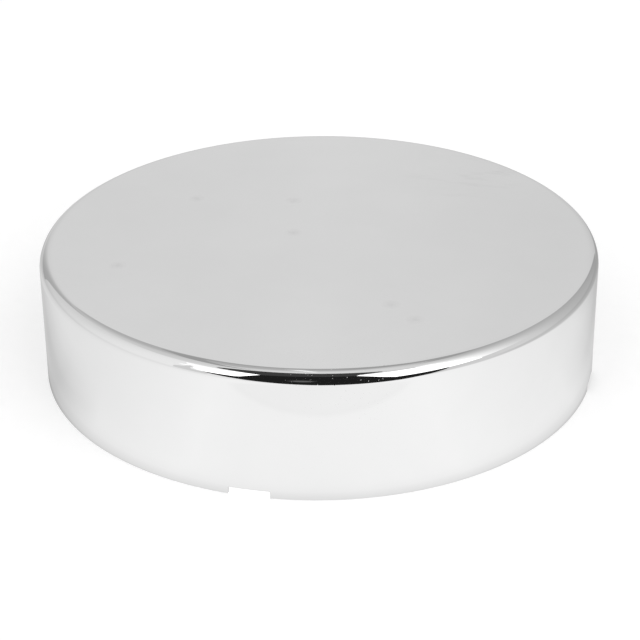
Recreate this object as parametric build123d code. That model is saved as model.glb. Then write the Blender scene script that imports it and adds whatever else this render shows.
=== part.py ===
"""Chromed cover for a truck's rear axle hub: a flat-faced steel cup, drawn and trimmed in one piece,
with shallow notches in its rim that pass over the raised pads of the hub.

Frame, in millimetres: the cup stands on its rim with its closed face up. The origin is the centre of
the rim, +Z is the wheel's axis, pointing out through the face, and a notch is centred on each end of
the X and Y axes.
"""

import os

from build123d import *

# Driving dimensions
OUTER_DIAMETER = 216.0
HEIGHT = 50.5
SHEET_THICKNESS = 1.2
BEND_RADIUS = 5.0  # outside of the bend between the face and the skirt
NOTCH_COUNT = 4
NOTCH_WIDTH = 15.2
NOTCH_DEPTH = 2.7
NOTCH_CORNER_RADIUS = 0.4
EDGE_BREAK = 0.3  # the polished outer edge of the trimmed rim and of its notches

# Sizes worked out from them
OUTER_RADIUS = OUTER_DIAMETER / 2
INNER_RADIUS = OUTER_RADIUS - SHEET_THICKNESS
INNER_HEIGHT = HEIGHT - SHEET_THICKNESS
PUNCH_REACH = 5 * SHEET_THICKNESS  # how far a notch's punch stands clear of each side of the wall


def drawn_cup():
    """The cup as it leaves the press: one sheet thickness all over, turned about the wheel's axis."""
    with BuildPart() as cup:
        with BuildSketch(Plane.XZ) as half_section:
            with BuildLine():
                Polyline(
                    (0, HEIGHT),
                    (OUTER_RADIUS, HEIGHT),
                    (OUTER_RADIUS, 0),
                    (INNER_RADIUS, 0),
                    (INNER_RADIUS, INNER_HEIGHT),
                    (0, INNER_HEIGHT),
                    close=True,
                )
            make_face()
            corners = half_section.vertices()
            outside_of_bend = corners.sort_by_distance((OUTER_RADIUS, HEIGHT))[0]
            fillet(outside_of_bend, BEND_RADIUS)
            corners = half_section.vertices()
            inside_of_bend = corners.sort_by_distance((INNER_RADIUS, INNER_HEIGHT))[0]
            fillet(inside_of_bend, BEND_RADIUS - SHEET_THICKNESS)
        revolve(axis=Axis.Z)
    return cup.part


def notch_punch():
    """What one punch takes out of the rim at -Y: straight sides, with the two upper corners rounded."""
    with BuildPart() as punch:
        with BuildSketch(Plane.XZ.offset(INNER_RADIUS - PUNCH_REACH)) as outline:
            Rectangle(NOTCH_WIDTH, 2 * NOTCH_DEPTH)
            upper_corners = outline.vertices().group_by(Axis.Y)[-1]
            fillet(upper_corners, NOTCH_CORNER_RADIUS)
        extrude(amount=SHEET_THICKNESS + 2 * PUNCH_REACH)
    return punch.part


def outer_trim_edges(cover):
    """The edges that trimming and notching leave on the outside of the skirt."""

    def on_the_outside(edge):
        middle = edge.position_at(0.5)
        radius = (middle.X**2 + middle.Y**2) ** 0.5
        return abs(radius - OUTER_RADIUS) < EDGE_BREAK and middle.Z < NOTCH_DEPTH + EDGE_BREAK

    return cover.edges().filter_by(on_the_outside)


def hub_cover():
    """The finished cover: the cup with its notches punched and its outer edge polished round."""
    cover = drawn_cup()
    punch = notch_punch()
    for number in range(NOTCH_COUNT):
        cover -= punch.rotate(Axis.Z, number * 360 / NOTCH_COUNT)
    return fillet(outer_trim_edges(cover), EDGE_BREAK)


def main():
    os.makedirs("parts", exist_ok=True)
    cover = hub_cover()
    cover.label = "hub_cover"
    export_step(cover, "parts/hub_cover.step")


main()
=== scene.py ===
"""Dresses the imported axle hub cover: a mirror-bright chromed cup on a white table, closed face up.

Everything is in metres, in the part's own frame: the rim's centre is the origin and +Z points out
through the face. Angles round the cup start at the notch on -Y and grow towards +X.
"""
import math

import bpy
from mathutils import Matrix, Vector
from mathutils.geometry import delaunay_2d_cdt


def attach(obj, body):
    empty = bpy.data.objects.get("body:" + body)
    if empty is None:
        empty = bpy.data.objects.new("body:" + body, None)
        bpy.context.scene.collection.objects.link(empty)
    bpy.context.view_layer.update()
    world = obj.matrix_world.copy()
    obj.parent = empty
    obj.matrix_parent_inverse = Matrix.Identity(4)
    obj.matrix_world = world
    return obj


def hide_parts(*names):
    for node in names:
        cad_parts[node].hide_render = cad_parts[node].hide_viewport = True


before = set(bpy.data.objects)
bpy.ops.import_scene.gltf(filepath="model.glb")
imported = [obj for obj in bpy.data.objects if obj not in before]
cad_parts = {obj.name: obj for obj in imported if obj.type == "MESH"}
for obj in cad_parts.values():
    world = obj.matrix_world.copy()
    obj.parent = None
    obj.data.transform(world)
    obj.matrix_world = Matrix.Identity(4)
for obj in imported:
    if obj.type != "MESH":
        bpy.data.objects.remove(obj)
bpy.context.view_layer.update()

# Sizes of the cover, the same as those of the solid
OUTER_RADIUS = 0.108
HEIGHT = 0.0505
SHEET = 0.0012
BEND = 0.005
NOTCH_WIDTH = 0.0152
NOTCH_DEPTH = 0.0027
NOTCH_CORNER = 0.0004
EDGE_BREAK = 0.0003
FRONT_NOTCH = (0, -OUTER_RADIUS, 0)
INNER_RADIUS = OUTER_RADIUS - SHEET
BEND_CENTRE = OUTER_RADIUS - BEND
BEND_LEVEL = HEIGHT - BEND

# How finely the skin is divided
COLUMNS = [math.radians(degrees) for degrees in range(-45, 46)]
COLUMN_GAP = 0.005  # least angle between a notch and the columns beside it
BAND_TOP = 0.008  # height of the lowest ring that no notch reaches
SKIRT_STEPS = 3
BEND_STEPS = 16
FACE_RINGS = (0.8, 0.55, 0.25, 0)  # shares of the flat face's radius
BREAK_STEPS = 4
CORNER_STEPS = 6
NOTCH_STEPS = 5  # along each half of a notch's straight upper edge

# Slots of the dressed cover
POLISHED = 0
UNPOLISHED = 1

# The camera, and the studio that is set square to it
CAMERA_AZIMUTH = 13.69
CAMERA_ELEVATION = 28.765
CAMERA_DISTANCE = 0.7825
CAMERA_TILT = 0.960  # how far the view's centre is above the rim's centre
CAMERA_PAN = 0.015
CAMERA_ROLL = -0.519
CAMERA_LENS = 109.95

# Marks on the chrome
FACE_STAINS = [
    (-0.0572, 0.0263, HEIGHT), (-0.0183, 0.0328, HEIGHT), (-0.0109, 0.0034, HEIGHT),
    (-0.0688, -0.0393, HEIGHT), (0.0385, -0.0484, HEIGHT), (0.0492, -0.0579, HEIGHT),
]
WIPED_PLACE = (0.0455, 0.0725, HEIGHT)
DUSTY_PLACE = (0.0340, -0.1010, 0.0490)

# How far the studio's pieces are from the cover
TABLE_RADIUS = 2.4
LAMP_DISTANCE = 2.5
SHEET_DISTANCE = 6.0
TENT_DISTANCE = 7.0
SHADE_LIFT = 0.0001  # height of the table that the chrome shows above the floor

# How finely the studio's pieces are divided, in degrees
DISC_STEP = 5
SHEET_STEP = 4

# Light that the floor gives by itself where it is seen, and how bright the soft boxes are
TABLE_GLOW = 0.30
SOFT_BOX_LEVEL = 1.2

# Greys of the studio, by degrees to the right of straight away from the camera
TENT_LEVELS = [
    (180, 0.88), (135, 0.66), (100, 0.72), (88, 0.68), (76, 0.58), (60, 0.50), (46, 0.45), (36, 0.38),
    (8, 0.36), (0, 0.46), (-24, 0.48), (-34, 0.54), (-50, 0.65), (-80, 0.69), (-90, 0.74), (-120, 0.88),
    (-150, 0.92),
]
BACKDROP_LEVELS = [
    (44, 0.70), (8, 0.71), (0, 0.75), (-8, 0.73), (-23, 0.70), (-28, 0.62), (-32, 0.53), (-37, 0.46),
    (-44, 0.46),
]
PANEL_LEVELS = [(-44, 0.67), (-56, 0.71), (-72, 0.77), (-80, 0.82), (-90, 0.86), (-105, 0.91), (-134, 0.95)]
GLOW_LEVELS = [(116, 1.14), (112, 1.08), (108, 0.98), (100, 0.83), (92, 0.72), (88, 0.68)]
# Painted light and shade on the table the chrome shows: brighter towards the soft boxes, darker behind the
# cover
BOARD_LEVELS = [
    (180, 1.00), (150, 1.03), (130, 0.97), (110, 0.92), (90, 0.84), (70, 0.68), (60, 0.58), (30, 0.60),
    (0, 0.68), (-25, 0.74), (-40, 0.58), (-50, 0.60), (-60, 0.72), (-80, 0.80), (-90, 0.83), (-110, 0.88),
    (-140, 0.99), (-150, 1.03), (-162, 1.00),
]
# That table's greys past a line on the cover's right, darker there
PAST_RIGHT_LEVELS = [
    (180, 1.00), (150, 1.00), (140, 0.80), (120, 0.70), (110, 0.62), (90, 0.57), (70, 0.46), (50, 0.39),
    (39.5, 0.40), (36, 0.58), (30, 0.60), (0, 0.68), (-25, 0.74), (-90, 0.83),
]

# Outlines of what hangs in the studio, in degrees to the right of straight away, and up
TENT = [(-180, -5), (180, -5), (180, 90), (-180, 90)]
BACKDROP = [
    (-44, -1), (33, -1), (35.5, 10), (38, 20), (44, 38), (43, 49), (34, 55), (14, 54), (6, 48), (-1, 36),
    (-5, 33), (-16, 36), (-36, 34.5), (-44, 40),
]
LEFT_PANEL = [(-134, -1), (-44, -1), (-44, 34), (-50, 41), (-57, 45), (-66, 50), (-80, 53), (-134, 56)]
LEFT_WING = [
    (-134, 23), (-131.5, 23), (-128, 30), (-125, 37), (-122, 40), (-120, 36), (-117.5, 38), (-117, 46),
    (-109.5, 52), (-101, 57.5), (-134, 58),
]
LAMP_STAND = [
    (-122.8, 42.5), (-120.6, 42.5), (-123.8, 30), (-122.2, 20), (-123.5, 8), (-137, 8), (-138.5, 20.5),
    (-129.5, 22), (-127.4, 27),
]
RIGHT_GLOW = [(88, 22), (104, 20.5), (116, 19), (116, 65), (88, 66)]
RAIL = [
    (-62, 74), (-50, 70), (-41, 65), (-25, 56), (-14, 45.5), (-8, 42), (-3, 43), (9, 56), (18, 60),
    (38, 60), (50, 65), (56, 68),
]
RAIL_WIDTH = 7
SEAM = [(-6, 57), (-3, 57), (-2, 80), (-7, 80)]

# Outlines of the dark card before the front of the bend, in degrees round the cup and round the bend,
# and the middle and half sizes of a pale spot on it. The card paints the dark reflection across the front
# of the bend, and the spot paints a paler patch in that reflection
CARD_REACH = 0.030
CARD_SIGHT = 0.030  # how close the chrome must be to show it
CARD = [
    (9, -4), (18, -3.5), (25, 3), (28, 10), (29.5, 16), (29, 20.5), (16.8, 21.5), (14.5, 30), (8.2, 56),
    (-13.5, 56), (-17.8, 31), (-19, 27.5), (-26.8, 24), (-24, 17.5), (-21, 14), (-16.5, 9.5), (-8, 3),
    (0, -2.5),
]
CARD_TOP = [
    (-13.5, 56), (8.2, 56), (9, 62), (14.5, 70), (14, 74), (8, 80), (0, 84), (-8, 86), (-15, 84.5),
    (-20, 80), (-24.5, 72), (-23.5, 67), (-18, 62.5),
]
PALE_REFLECTION_SPOT = (-4, 25.5, 2.2, 5.0)


# The dressed cover


def at(radius, angle, height):
    """The point at a radius, an angle round the cup and a height."""
    return (radius * math.sin(angle), -radius * math.cos(angle), height)


def outward(angle, along=1.0, up=0.0):
    """A direction out from the wheel's axis at an angle round the cup, leaning up."""
    return (along * math.sin(angle), -along * math.cos(angle), up)


class Skin:
    """Faces with shared corners merged, each corner keeping the true normal of its surface."""

    def __init__(self):
        self.places = {}
        self.points = []
        self.faces = []
        self.normals = []
        self.slots = []

    def corner(self, point):
        key = tuple(round(value, 7) for value in point)
        if key not in self.places:
            self.places[key] = len(self.points)
            self.points.append(point)
        return self.places[key]

    def face(self, corners, slot):
        """Adds a face from (point, normal) pairs at each quarter turn, facing the way its normals do."""
        a, b, c = (Vector(corners[i][0]) for i in (0, 1, -1))
        wanted = sum((Vector(normal) for _, normal in corners), Vector())
        if (b - a).cross(c - a).dot(wanted) < 0:
            corners = corners[::-1]
        for _ in range(4):
            self.faces.append([self.corner(point) for point, _ in corners])
            self.normals.extend(normal for _, normal in corners)
            self.slots.append(slot)
            corners = [((-p[1], p[0], p[2]), (-n[1], n[0], n[2])) for p, n in corners]

    def mesh(self, name, materials):
        mesh = bpy.data.meshes.new(name)
        mesh.from_pydata(self.points, [], self.faces)
        for material in materials:
            mesh.materials.append(material)
        mesh.polygons.foreach_set("material_index", self.slots)
        mesh.polygons.foreach_set("use_smooth", [True] * len(self.faces))
        mesh.normals_split_custom_set(self.normals)
        return mesh


def turned(skin, rows, slot):
    """A surface of revolution over a quarter turn, from rows of (radius, height, normal out, normal up)."""
    for (r0, z0, out0, up0), (r1, z1, out1, up1) in zip(rows, rows[1:]):
        for left, right in zip(COLUMNS, COLUMNS[1:]):
            corners = [
                (at(r0, left, z0), outward(left, out0, up0)),
                (at(r0, right, z0), outward(right, out0, up0)),
                (at(r1, right, z1), outward(right, out1, up1)),
                (at(r1, left, z1), outward(left, out1, up1)),
            ]
            skin.face(corners if r1 > 0 else corners[:3], slot)


def profile(radius, height, bend, facing):
    """Rows up one side of the sheet, from the first whole ring to the middle of the face."""
    rise = (BEND_LEVEL - BAND_TOP) / SKIRT_STEPS
    rows = [(radius, BAND_TOP + rise * step, facing, 0) for step in range(SKIRT_STEPS)]
    for step in range(BEND_STEPS + 1):
        angle = math.pi / 2 * step / BEND_STEPS
        out, up = math.cos(angle), math.sin(angle)
        rows.append((BEND_CENTRE + bend * out, BEND_LEVEL + bend * up, facing * out, facing * up))
    rows += [(BEND_CENTRE * share, height, 0, facing) for share in FACE_RINGS]
    return rows


def trim_path():
    """The trimmed edge over a quarter turn, left to right on the skirt.

    Each stop has its angle, its height, whether the notch's straight punch made it, and the direction
    into the sheet (sideways, up) before and after it. The two differ at the feet of the notch.
    """
    up, left = (0, 1), (-1, 0)
    half = NOTCH_WIDTH / 2
    foot = math.asin(half / OUTER_RADIUS)
    straight = half - NOTCH_CORNER
    shoulder = NOTCH_DEPTH - NOTCH_CORNER
    path = [(angle, 0, False, up, up) for angle in COLUMNS if angle < -foot - COLUMN_GAP]
    path.append((-foot, 0, True, up, left))
    path.append((-foot, shoulder / 2, True, left, left))
    for step in range(CORNER_STEPS + 1):
        turn = math.pi - math.pi / 2 * step / CORNER_STEPS
        into = (math.cos(turn), math.sin(turn))
        sideways = -straight + NOTCH_CORNER * into[0]
        height = shoulder + NOTCH_CORNER * into[1]
        path.append((math.asin(sideways / OUTER_RADIUS), height, True, into, into))
    for step in range(1, NOTCH_STEPS):
        sideways = -straight * (1 - step / NOTCH_STEPS)
        path.append((math.asin(sideways / OUTER_RADIUS), NOTCH_DEPTH, True, up, up))
    for angle, height, punched, before, after in path[::-1]:
        path.append((-angle, height, punched, (-after[0], after[1]), (-before[0], before[1])))
    return path


def trim_place(stop, inset, radius):
    """Where a stop of the trimmed edge lies at a radius, moved inset into the sheet: angle and height."""
    angle, height, punched, before, after = stop
    share = inset / (1 + before[0] * after[0] + before[1] * after[1])
    height += share * (before[1] + after[1])
    if punched:
        sideways = OUTER_RADIUS * math.sin(angle) + share * (before[0] + after[0])
        angle = math.asin(sideways / radius)
    return angle, height


def trim_band(skin, path, inset, radius, facing, slot):
    """The skirt's lowest strip, from the trimmed edge up to the first whole ring."""
    places = [trim_place(stop, inset, radius) for stop in path]
    places += [(angle, BAND_TOP) for angle in COLUMNS[::-1]]
    flat = [Vector((1000 * radius * angle, 1000 * height)) for angle, height in places]
    outline = [list(range(len(flat)))]
    _, _, triangles, sources, _, _ = delaunay_2d_cdt(flat, [], outline, 1, 1e-5)
    for triangle in triangles:
        picked = [places[sources[i][0]] for i in triangle]
        skin.face([(at(radius, a, z), outward(a, facing)) for a, z in picked], slot)


def trim_rows(skin, path, slot):
    """The polished round of the outer edge, and the cut face of the sheet behind it."""
    rows = []
    for step in range(BREAK_STEPS + 1):
        turn = math.pi / 2 * step / BREAK_STEPS
        drop = EDGE_BREAK * (1 - math.cos(turn))
        rows.append((EDGE_BREAK * (1 - math.sin(turn)), OUTER_RADIUS - drop, turn))
    rows.append((0, INNER_RADIUS, math.pi / 2))

    def corner(stop, row, into):
        inset, radius, turn = row
        angle, height = trim_place(stop, inset, radius)
        normal = Vector(outward(angle, math.cos(turn), -math.sin(turn) * into[1]))
        normal -= math.sin(turn) * into[0] * Vector((math.cos(angle), math.sin(angle), 0))
        return at(radius, angle, height), tuple(normal)

    for lower, upper in zip(rows, rows[1:]):
        for here, there in zip(path, path[1:]):
            quad = [
                corner(here, lower, here[4]),
                corner(there, lower, there[3]),
                corner(there, upper, there[3]),
                corner(here, upper, here[4]),
            ]
            skin.face(quad, slot)


def dressed_cover(materials):
    skin = Skin()
    path = trim_path()
    turned(skin, profile(OUTER_RADIUS, HEIGHT, BEND, 1), POLISHED)
    turned(skin, profile(INNER_RADIUS, HEIGHT - SHEET, BEND - SHEET, -1), UNPOLISHED)
    trim_band(skin, path, EDGE_BREAK, OUTER_RADIUS, 1, POLISHED)
    trim_band(skin, path, 0, INNER_RADIUS, -1, UNPOLISHED)
    trim_rows(skin, path, POLISHED)
    cover = bpy.data.objects.new("chromed_cover", skin.mesh("chromed_cover", materials))
    bpy.context.scene.collection.objects.link(cover)
    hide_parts("hub_cover")
    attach(cover, "root")
    return cover


# Materials


def grey(level):
    return (level, level, level, 1)


class Nodes:
    """Short calls for building a node tree."""

    def __init__(self, tree):
        self.tree = tree
        tree.nodes.clear()

    def add(self, kind, inputs=None, **settings):
        node = self.tree.nodes.new(kind)
        for name, value in settings.items():
            setattr(node, name, value)
        for name, value in (inputs or {}).items():
            self.give(node, name, value)
        return node

    def give(self, node, name, value):
        if isinstance(value, bpy.types.NodeSocket):
            self.tree.links.new(value, node.inputs[name])
        else:
            node.inputs[name].default_value = value

    def ramp(self, value, stops, interpolation="LINEAR"):
        """A colour ramp of greys from (position, level) stops."""
        node = self.add("ShaderNodeValToRGB", {"Fac": value})
        ramp = node.color_ramp
        ramp.interpolation = interpolation
        while len(ramp.elements) < len(stops):
            ramp.elements.new(0.5)
        for element, (position, level) in zip(ramp.elements, stops):
            element.position = position
            element.color = grey(level)
        return node.outputs["Color"]

    def mix(self, share, first, second):
        node = self.add("ShaderNodeMix", {0: share, 6: first, 7: second}, data_type="RGBA")
        return node.outputs[2]

    def bump(self, height, distance, normal=None):
        node = self.add("ShaderNodeBump", {"Strength": 1.0, "Distance": distance, "Height": height})
        if normal is not None:
            self.give(node, "Normal", normal)
        return node.outputs["Normal"]

    def surface(self, shader):
        self.give(self.add("ShaderNodeOutputMaterial"), "Surface", shader)

    def math(self, operation, a, b=0.0, c=0.0):
        node = self.add("ShaderNodeMath", {0: a, 1: b, 2: c}, operation=operation)
        return node.outputs[0]

    def along(self, where, direction):
        """How far places lie along a direction."""
        node = self.add("ShaderNodeVectorMath", {0: where, 1: direction}, operation="DOT_PRODUCT")
        return node.outputs["Value"]

    def distance(self, where, place=(0, 0, 0)):
        """How far places lie from one place."""
        node = self.add("ShaderNodeVectorMath", {0: where, 1: place}, operation="DISTANCE")
        return node.outputs["Value"]

    def glow(self, colour, strength=1.0):
        return self.add("ShaderNodeEmission", {"Color": colour, "Strength": strength}).outputs["Emission"]

    def noise(self, where, scale, detail=2.0, roughness=0.5):
        inputs = {"Vector": where, "Scale": scale, "Detail": detail, "Roughness": roughness}
        return self.add("ShaderNodeTexNoise", inputs).outputs["Fac"]


def new_material(name):
    material = bpy.data.materials.new(name)
    material.use_nodes = True
    return material, Nodes(material.node_tree)


def chrome():
    """Polished chrome: a clear mirror with faint waves, wiping haze, a few stains and specks of dust."""
    material, nodes = new_material("polished_chrome")
    where = nodes.add("ShaderNodeTexCoord").outputs["Object"]
    haze = nodes.noise(where, 14.0, 4.0, 0.6)
    grain = nodes.noise(where, 900.0, 3.0, 0.6)
    waves = nodes.noise(where, 38.0, 1.0, 0.4)
    dusty = dust(nodes, where)
    marks = nodes.math("MAXIMUM", stains(nodes, where), dusty)
    wiped = nodes.math("MULTIPLY", wipe_marks(nodes, where), 0.8)
    colour = nodes.ramp(haze, [(0.30, 0.850), (0.70, 0.885)])
    dulled = nodes.math("MAXIMUM", marks, wiped)
    colour = nodes.mix(nodes.math("MULTIPLY", dulled, 0.30), colour, grey(0.55))
    polish = nodes.ramp(haze, [(0.35, 0.020), (0.75, 0.045)])
    polish = nodes.math("MULTIPLY_ADD", dulled, 0.22, polish)
    metal = nodes.math("MULTIPLY_ADD", marks, -0.2, 1.0)
    metal = nodes.math("MULTIPLY_ADD", dusty, -0.4, metal)
    bump = nodes.bump(waves, 0.000004)
    bump = nodes.bump(grain, 0.0000001, bump)
    bump = nodes.bump(marks, 0.00001, bump)
    shader = nodes.add(
        "ShaderNodeBsdfPrincipled",
        {"Base Color": colour, "Metallic": metal, "Roughness": polish, "Normal": bump},
    )
    nodes.surface(shader.outputs["BSDF"])
    return material


def stains(nodes, where):
    """1 on a few dried spots on the face."""
    nearest = 1.0
    for spot in FACE_STAINS:
        nearest = nodes.math("MINIMUM", nodes.distance(where, spot), nearest)
    return nodes.ramp(nearest, [(0.0003, 1.0), (0.0008, 0.0)])


def dust(nodes, where):
    """1 on specks of dust: a few coarse ones all over, and fine ones in one place."""
    coarse = specks(nodes, where, 90.0, 0.010, 0.024, 0.88)
    fine = specks(nodes, where, 800.0, 0.07, 0.17, 0.15)
    near = nodes.ramp(nodes.distance(where, DUSTY_PLACE), [(0.010, 1.0), (0.024, 0.0)])
    return nodes.math("MAXIMUM", coarse, nodes.math("MULTIPLY", fine, near))


def specks(nodes, where, scale, core, edge, share_left_out):
    """1 on a speck in each of the cells that aren't left out."""
    cells = nodes.add("ShaderNodeTexVoronoi", {"Vector": where, "Scale": scale})
    speck = nodes.ramp(cells.outputs["Distance"], [(core, 1.0), (edge, 0.0)])
    pick = nodes.add("ShaderNodeSeparateColor", {"Color": cells.outputs["Color"]})
    kept = nodes.math("GREATER_THAN", pick.outputs["Red"], share_left_out)
    return nodes.math("MULTIPLY", speck, kept)


def wipe_marks(nodes, where):
    """Up to 1 in short streaks that a cloth left towards the back of the face."""
    stretched = nodes.add("ShaderNodeMapping", {"Vector": where, "Scale": (50, 170, 50)})
    stretched.inputs["Rotation"].default_value[2] = math.radians(35)
    streaks = nodes.ramp(nodes.noise(stretched.outputs["Vector"], 1.0, 3.0), [(0.48, 0.0), (0.75, 1.0)])
    near = nodes.ramp(nodes.distance(where, WIPED_PLACE), [(0.008, 1.0), (0.028, 0.0)])
    return nodes.math("MULTIPLY", streaks, near)


def bare_plate():
    """The unpolished inside: the same plate over a drawn steel surface, grey and satin."""
    material, nodes = new_material("unpolished_plate")
    where = nodes.add("ShaderNodeTexCoord").outputs["Object"]
    cloud = nodes.noise(where, 22.0, 5.0, 0.6)
    grain = nodes.noise(where, 700.0, 3.0, 0.6)
    colour = nodes.ramp(cloud, [(0.30, 0.50), (0.70, 0.62)])
    satin = nodes.ramp(cloud, [(0.30, 0.30), (0.75, 0.46)])
    bump = nodes.bump(grain, 0.000008)
    shader = nodes.add(
        "ShaderNodeBsdfPrincipled",
        {"Base Color": colour, "Metallic": 1.0, "Roughness": satin, "Normal": bump},
    )
    nodes.surface(shader.outputs["BSDF"])
    return material


# The studio


def toward(azimuth, elevation=0.0):
    """A direction from the cover, by degrees to the right of straight away from the camera, and up."""
    turn = math.radians(azimuth - CAMERA_AZIMUTH)
    rise = math.radians(elevation)
    return Vector((math.sin(turn) * math.cos(rise), math.cos(turn) * math.cos(rise), math.sin(rise)))


def stage_object(name, points, faces, material):
    mesh = bpy.data.meshes.new(name)
    mesh.from_pydata([tuple(point) for point in points], [], faces)
    mesh.materials.append(material)
    obj = bpy.data.objects.new(name, mesh)
    bpy.context.scene.collection.objects.link(obj)
    return obj


def only_in_mirrors(obj):
    """Leaves an object to be seen in the chrome alone, so that it neither hides nor shades anything."""
    obj.visible_camera = False
    obj.visible_diffuse = False
    obj.visible_transmission = False
    obj.visible_volume_scatter = False
    obj.visible_shadow = False


def shown_rays(nodes):
    """1 for rays that come from the camera, a mirror or glass, and 0 for those that carry light."""
    path = nodes.add("ShaderNodeLightPath")
    seen = nodes.math("MAXIMUM", path.outputs["Is Camera Ray"], path.outputs["Is Glossy Ray"])
    return nodes.math("MAXIMUM", seen, path.outputs["Is Transmission Ray"])


def square_to_camera(nodes):
    """Places turned so that +Y leads straight away from the camera."""
    where = nodes.add("ShaderNodeTexCoord").outputs["Object"]
    square = nodes.add("ShaderNodeMapping", {"Vector": where})
    square.inputs["Rotation"].default_value[2] = math.radians(-CAMERA_AZIMUTH)
    return square.outputs["Vector"]


def levels_round(nodes, square, levels):
    """A grey that changes round the cover, from (degrees right of straight away, level) pairs."""
    turn = nodes.add("ShaderNodeTexGradient", {"Vector": square}, gradient_type="RADIAL")
    stops = sorted(((0.75 - azimuth / 360) % 1.0, level) for azimuth, level in levels)
    return nodes.ramp(turn.outputs["Fac"], stops + [(1.0, stops[0][1])])


def plain(name, level):
    """A surface that shows one grey."""
    material, nodes = new_material(name)
    nodes.surface(nodes.glow(grey(level)))
    return material


def graded(name, levels, rise=((0, 1.0), (90, 1.0))):
    """A surface whose grey changes round the cover, and with height by (degrees up, strength) pairs."""
    material, nodes = new_material(name)
    square = square_to_camera(nodes)
    share = nodes.math("DIVIDE", nodes.along(square, (0, 0, 1)), SHEET_DISTANCE)
    stops = [(math.sin(math.radians(elevation)), strength) for elevation, strength in rise]
    nodes.surface(nodes.glow(levels_round(nodes, square, levels), nodes.ramp(share, stops)))
    return material


def shown_close_up(name, level):
    """A grey that shows in chrome close to it, and is clear from farther off: a painted reflection."""
    material, nodes = new_material(name)
    length = nodes.add("ShaderNodeLightPath").outputs["Ray Length"]
    far = nodes.math("GREATER_THAN", length, CARD_SIGHT)
    clear = nodes.add("ShaderNodeBsdfTransparent").outputs["BSDF"]
    mixed = nodes.add("ShaderNodeMixShader", {0: far, 1: nodes.glow(grey(level)), 2: clear})
    nodes.surface(mixed.outputs["Shader"])
    return material


def white_room():
    """The world: white wherever it is seen, and an even soft light."""
    world = bpy.data.worlds.new("white_room")
    world.use_nodes = True
    bpy.context.scene.world = world
    nodes = Nodes(world.node_tree)
    colour = nodes.mix(shown_rays(nodes), grey(0.78), grey(1))
    background = nodes.add("ShaderNodeBackground", {"Color": colour, "Strength": 1.0})
    output = nodes.add("ShaderNodeOutputWorld")
    nodes.give(output, "Surface", background.outputs["Background"])


def disc(name, height, material):
    """A flat disc as wide as the table, facing up."""
    lift = Vector((0, 0, height))
    rim = [TABLE_RADIUS * toward(-degrees) + lift for degrees in range(0, 360, DISC_STEP)]
    return stage_object(name, rim, [list(range(len(rim)))], material)


def from_the_rim(stops):
    """Stops of a ramp by distance from the cover's axis, from (gap to the rim, level) pairs."""
    return [(OUTER_RADIUS + gap, level) for gap, level in stops]


def notch_painted_light(nodes, where):
    """Where light is painted on the floor: 1 behind the front notch, fading to 0 a little way before it."""
    away = nodes.distance(where)
    behind = nodes.math("LESS_THAN", away, OUTER_RADIUS - EDGE_BREAK)
    before = nodes.ramp(away, from_the_rim([(0, 1.0), (0.006, 0.0)]))
    across = nodes.math("ABSOLUTE", nodes.along(where, (1, 0, 0)))
    before = nodes.math("MULTIPLY", before, nodes.math("LESS_THAN", across, NOTCH_WIDTH / 2))
    near = nodes.math("LESS_THAN", nodes.distance(where, FRONT_NOTCH), NOTCH_WIDTH)
    return nodes.math("MULTIPLY", nodes.math("MAXIMUM", behind, before), near)


def table():
    """The floor: a white disc that keeps the cover's shadow, and stays white in the front notch with
    painted light.
    """
    material, nodes = new_material("white_table")
    where = nodes.add("ShaderNodeTexCoord").outputs["Object"]
    paper = nodes.ramp(nodes.noise(where, 160.0, 3.0), [(0.3, 0.79), (0.7, 0.81)])
    diffuse = nodes.add("ShaderNodeBsdfDiffuse", {"Color": paper}).outputs["BSDF"]
    # painted light: where the notch mask is 1, the floor glows full white over the shade inside the cup
    lift = nodes.math("MULTIPLY_ADD", notch_painted_light(nodes, where), 1 - TABLE_GLOW, TABLE_GLOW)
    glow = nodes.glow(grey(1), nodes.math("MULTIPLY", shown_rays(nodes), lift))
    lit = nodes.add("ShaderNodeAddShader", {0: diffuse, 1: glow}).outputs["Shader"]
    below = nodes.add("ShaderNodeNewGeometry").outputs["Backfacing"]
    clear = nodes.add("ShaderNodeBsdfTransparent").outputs["BSDF"]
    nodes.surface(nodes.add("ShaderNodeMixShader", {0: below, 1: lit, 2: clear}).outputs["Shader"])
    disc("table", 0, material)


def side_shadow(nodes, square, side, depth, start):
    """The light left in the narrow shadow that runs back past the cover's left (-1) or right (1) side."""
    across = nodes.along(square, (0.965 * side, -0.264, 0))
    inner = [(0.098, 0.0), (0.106, 0.75), (0.113, 0.94), (0.119, 1.0)]
    outer = [(0.126, 0.63), (0.140, 0.20), (0.153, 0.0)]
    shadow = nodes.ramp(across, inner + outer)
    back = nodes.math("SUBTRACT", nodes.along(square, (0, 1, 0)), start)
    length = nodes.ramp(back, [(0.0, 0.0), (0.040, 1.0), (0.080, 1.0), (0.170, 0.20)])
    return nodes.math("MULTIPLY_ADD", nodes.math("MULTIPLY", shadow, length), -depth, 1.0)


def side_foot(nodes, square, away):
    """The light left between the table and the foot of the cover's left and right sides."""
    gaps = [(0, 1.0), (0.0001, 0.60), (0.0004, 0.38), (0.0008, 0.20), (0.0016, 0.0)]
    close = nodes.ramp(away, from_the_rim(gaps))
    aside = nodes.math("ABSOLUTE", nodes.along(square, (1, 0, 0)))
    side = nodes.ramp(aside, [(0.0, 0.08), (0.045, 0.16), (0.085, 0.55), (0.104, 1.0)])
    return nodes.math("MULTIPLY_ADD", nodes.math("MULTIPLY", close, side), -0.75, 1.0)


def board_front(nodes, square):
    """The light left past the front edge of the board, which the cover's skirt shows as a faint line."""
    past = nodes.ramp(nodes.along(square, (0, -1, 0)), [(0.164, 0.0), (0.166, 0.055), (0.169, 0.03)])
    aside = nodes.math("ABSOLUTE", nodes.along(square, (1, 0, 0)))
    width = nodes.ramp(aside, [(0.070, 1.0), (0.085, 0.0)])
    return nodes.math("SUBTRACT", 1.0, nodes.math("MULTIPLY", past, width))


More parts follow.
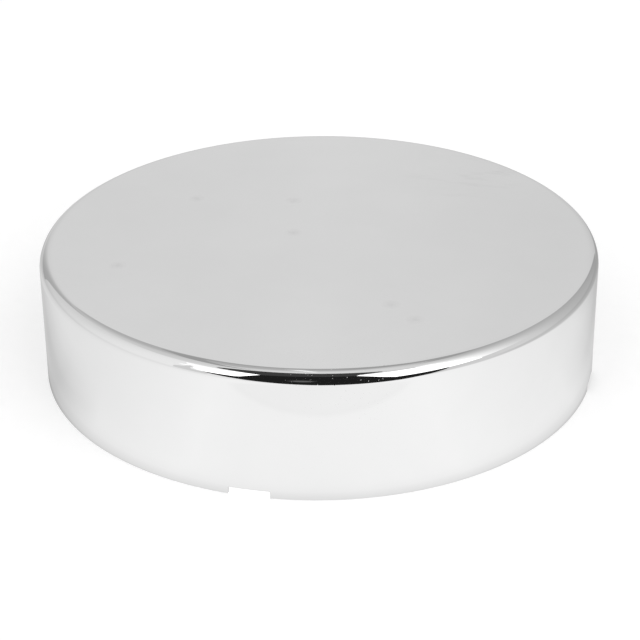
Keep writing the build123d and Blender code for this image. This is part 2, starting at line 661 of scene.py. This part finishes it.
def table_shade():
    """The table the chrome shows, painted with light and shade: a white board, greyer past a line on the
    right, and shadows.
    """
    material, nodes = new_material("table_shade")
    square = square_to_camera(nodes)
    # painted light: greys by direction, brighter towards the soft boxes and darker behind the cover
    board, past_right_grey = (levels_round(nodes, square, levels) for levels in (BOARD_LEVELS, PAST_RIGHT_LEVELS))
    past_right = nodes.ramp(nodes.along(square, (0.904, 0.427, 0)), [(0.140, 0.0), (0.215, 1.0)])
    colour = nodes.mix(past_right, board, past_right_grey)
    away = nodes.distance(square)
    # Painted shade: a contact shadow round the cover's foot, narrow shadows past its sides, darker feet at
    # its sides and a faint line past the board's front
    strength = nodes.ramp(away, from_the_rim([(0, 0.83), (0.0015, 0.88), (0.005, 0.965), (0.010, 1.0)]))
    strength = nodes.math("MULTIPLY", strength, side_shadow(nodes, square, -1, 0.28, -0.066))
    strength = nodes.math("MULTIPLY", strength, side_shadow(nodes, square, 1, 0.20, -0.045))
    strength = nodes.math("MULTIPLY", strength, side_foot(nodes, square, away))
    strength = nodes.math("MULTIPLY", strength, board_front(nodes, square))
    nodes.surface(nodes.glow(colour, strength))
    only_in_mirrors(disc("table_shade", SHADE_LIFT, material))


def tent():
    """Soft walls round the table, lighter towards the camera's side, and a pale top."""
    material, nodes = new_material("tent")
    square = square_to_camera(nodes)
    walls = levels_round(nodes, square, TENT_LEVELS)
    rise = nodes.math("DIVIDE", nodes.along(square, (0, 0, 1)), TENT_DISTANCE)
    colour = nodes.mix(nodes.ramp(rise, [(0.875, 0.0), (0.985, 1.0)]), walls, grey(0.76))
    nodes.surface(nodes.glow(colour))
    sheet("tent", TENT, hung(TENT_DISTANCE), material)


def sheet(name, outline, place, material):
    """A thin sheet seen in the chrome alone, from an outline in degrees that place turns into points."""
    corners = [Vector(corner) for corner in outline]
    across, up = (range(int(min(side)), int(max(side)), SHEET_STEP) for side in zip(*outline))
    inner = [Vector((x, y)) for x in across for y in up]
    flat, _, triangles, _, _, _ = delaunay_2d_cdt(
        corners + inner, [], [list(range(len(corners)))], 1, 1e-4
    )
    only_in_mirrors(stage_object(name, [place(x, y) for x, y in flat], triangles, material))


def hung(distance):
    """Places at a distance from the cover, in degrees to the right of straight away, and up."""
    return lambda azimuth, elevation: distance * toward(azimuth, elevation)


def before_the_bend(reach):
    """Places before the front of the bend, in degrees from the camera's side, and from outward to up."""

    def place(across, along):
        angle = math.radians(across + CAMERA_AZIMUTH)
        turn = math.radians(along)
        return at(BEND_CENTRE + reach * math.cos(turn), angle, BEND_LEVEL + reach * math.sin(turn))

    return place


def rail(path, width):
    """The outline of a strip along a path."""
    lower = [(azimuth, elevation - width / 2) for azimuth, elevation in path]
    upper = [(azimuth, elevation + width / 2) for azimuth, elevation in path]
    return lower + upper[::-1]


def oval(across, up, half_width, half_height, share):
    """The outline of an oval round a middle, at a share of its size."""
    turns = [math.radians(degrees) for degrees in range(0, 360, 30)]
    half_width, half_height = half_width * share, half_height * share
    return [(across + half_width * math.cos(turn), up + half_height * math.sin(turn)) for turn in turns]


def soft_box(name, left, right, low, high):
    """An upright lamp that reaches over a range of degrees round the cover and up."""
    half = math.radians(right - left) / 2
    bottom, top = (LAMP_DISTANCE * math.tan(math.radians(elevation)) for elevation in (low, high))
    lamp = bpy.data.lights.new(name, "AREA")
    lamp.shape = "RECTANGLE"
    lamp.size = 2 * LAMP_DISTANCE * math.tan(half)
    lamp.size_y = top - bottom
    lamp.energy = math.pi * lamp.size * lamp.size_y * SOFT_BOX_LEVEL
    obj = bpy.data.objects.new(name, lamp)
    bpy.context.scene.collection.objects.link(obj)
    aim = toward((left + right) / 2)
    obj.location = LAMP_DISTANCE * aim + Vector((0, 0, (bottom + top) / 2))
    obj.rotation_euler = aim.to_track_quat("Z", "Y").to_euler()
    obj.visible_camera = False


def studio():
    white_room()
    table()
    table_shade()
    tent()
    backdrop = graded("backdrop", BACKDROP_LEVELS, [(0, 0.87), (12, 0.94), (21, 0.985), (30, 1.01)])
    sheet("backdrop", BACKDROP, hung(SHEET_DISTANCE), backdrop)
    panel = graded("left_panel", PANEL_LEVELS, [(0, 0.91), (4, 0.93), (12, 1.0)])
    sheet("left_panel", LEFT_PANEL, hung(SHEET_DISTANCE), panel)
    sheet("left_wing", LEFT_WING, hung(SHEET_DISTANCE - 0.1), plain("left_wing", SOFT_BOX_LEVEL))
    sheet("lamp_stand", LAMP_STAND, hung(SHEET_DISTANCE - 0.2), plain("lamp_stand", 0.70))
    sheet("right_glow", RIGHT_GLOW, hung(SHEET_DISTANCE), graded("right_glow", GLOW_LEVELS))
    sheet("rail", rail(RAIL, RAIL_WIDTH), hung(SHEET_DISTANCE + 0.1), plain("rail", 0.37))
    sheet("seam", SEAM, hung(SHEET_DISTANCE), plain("seam", 1.0))
    soft_box("left_soft_box", -155, -133, 26, 57.5)
    soft_box("right_soft_box", 116, 165, 18.5, 61.5)
    # the dark card and its pale spots, seen only close up, paint the dark reflection across the bend's
    # front, with paler patches
    sheet("painted_dark_reflection", CARD, before_the_bend(CARD_REACH), shown_close_up("painted_dark_reflection", 0.014))
    sheet("painted_dark_reflection_top", CARD_TOP, before_the_bend(CARD_REACH), shown_close_up("painted_dark_reflection_top", 0.05))
    for share, level in ((1.6, 0.035), (1.25, 0.07), (0.9, 0.13)):
        name = f"painted_pale_reflection_{level}"
        place = before_the_bend(CARD_REACH - 0.001 / share)
        sheet(name, oval(*PALE_REFLECTION_SPOT, share), place, shown_close_up(name, level))


def photograph_camera():
    lens = bpy.data.cameras.new("camera")
    lens.lens = CAMERA_LENS
    lens.sensor_width = 36
    lens.clip_start = 0.01
    camera = bpy.data.objects.new("camera", lens)
    bpy.context.scene.collection.objects.link(camera)
    look = math.radians(90 - CAMERA_ELEVATION + CAMERA_TILT)
    turn = Matrix.Rotation(math.radians(CAMERA_AZIMUTH - CAMERA_PAN), 4, "Z")
    turn = turn @ Matrix.Rotation(look, 4, "X") @ Matrix.Rotation(math.radians(CAMERA_ROLL), 4, "Z")
    camera.matrix_world = Matrix.Translation(CAMERA_DISTANCE * toward(180, CAMERA_ELEVATION)) @ turn
    bpy.context.scene.camera = camera


bpy.context.scene.view_settings.view_transform = "Standard"
dressed_cover([chrome(), bare_plate()])
studio()
photograph_camera()
